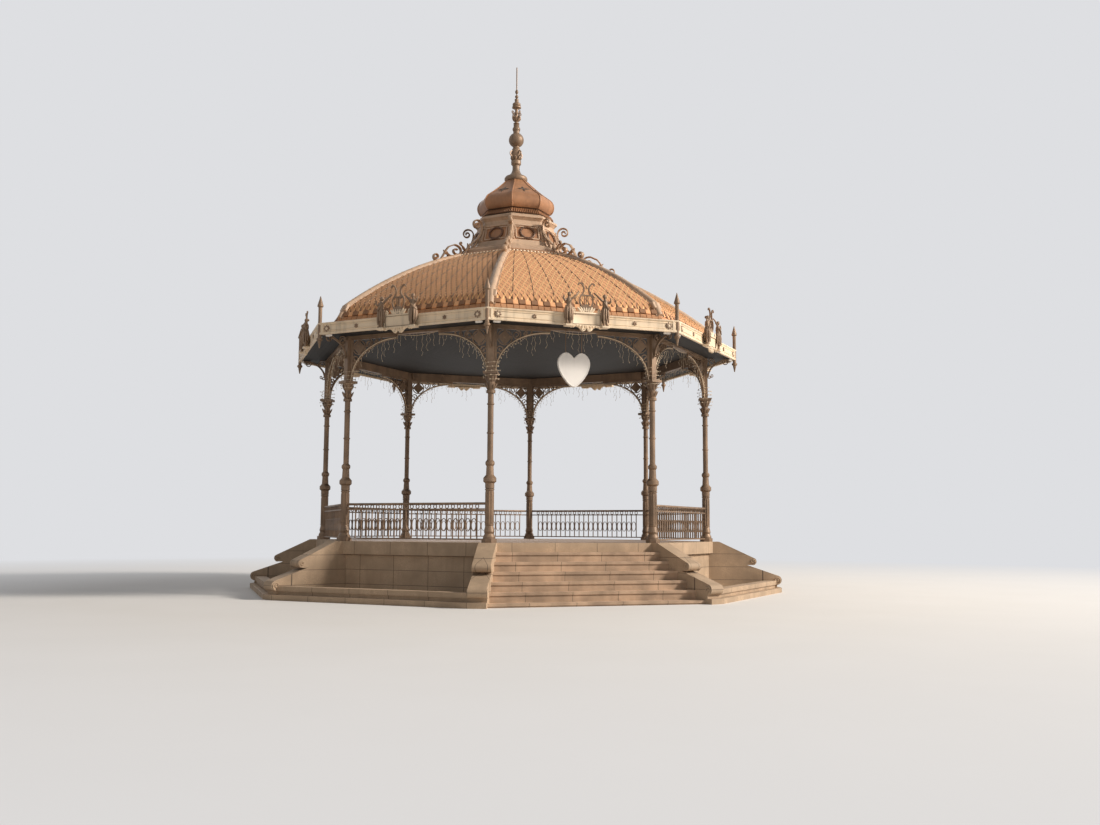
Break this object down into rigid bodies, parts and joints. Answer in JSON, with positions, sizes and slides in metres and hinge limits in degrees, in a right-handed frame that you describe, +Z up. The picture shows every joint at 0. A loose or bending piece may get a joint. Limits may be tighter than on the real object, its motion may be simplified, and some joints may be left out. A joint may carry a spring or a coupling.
{
  "type": "octagonal bandstand",
  "caption": "Octagonal bandstand on a stone podium with a stair, slender iron columns, arched scroll spandrels, railings, a tiled curved roof and an onion-domed lantern.",
  "frame": {"origin": "centre of the octagon on the ground", "axes": "+Z up, the stair faces -Y, +X to the right seen from the stair"},
  "size_m": [13.428, 13.428, 14.73],
  "materials": {
    "pale_stone": "weathered grey-beige masonry",
    "step_stone": "worn stone treads",
    "floor_tile": "matt fired floor tiles",
    "iron": "bronze-brown paint on cast and wrought iron",
    "cream_iron": "pale cream paint, satin",
    "ceiling_boards": "dark stained boards",
    "roof_tiles": "tan diamond tiles, matt",
    "lead": "dull brown zinc and lead sheet",
    "white_sign": "white satin paint"
  },
  "bodies": {
    "root": {"buttresses": "pale_stone", "capitals": "iron", "cartouche_lyres": "iron", "cartouche_plaques": "cream_iron", "cartouche_supporters": "iron", "ceiling": "ceiling_boards", "column_bases": "iron", "column_shafts": "iron", "eave_brackets": "iron", "eave_spikes": "iron", "gutters": "cream_iron", "heart_hangers": "iron", "heart_sign": "white_sign", "hip_rolls": "lead", "kerb_plinths": "pale_stone", "kerbs": "pale_stone", "lantern_base": "lead", "lantern_consoles": "iron", "lantern_cornice": "lead", "lantern_dome": "lead", "lantern_drum": "lead", "lantern_frieze": "lead", "lantern_skirt": "lead", "left_spandrels": "iron", "platform_coping": "pale_stone", "platform_floor": "floor_tile", "podium_wall": "pale_stone", "posts": "iron", "railings": "iron", "right_spandrels": "iron", "ring_beams": "iron", "roof_curb": "lead", "roof_faces": "roof_tiles", "soffits": "ceiling_boards", "spire_ball": "iron", "spire_collar": "iron", "spire_needle": "iron", "spire_vase": "iron", "step_1": "step_stone", "step_2": "step_stone", "step_3": "step_stone", "step_4": "step_stone", "step_5": "step_stone", "step_6": "step_stone"}
  },
  "joints": []
}
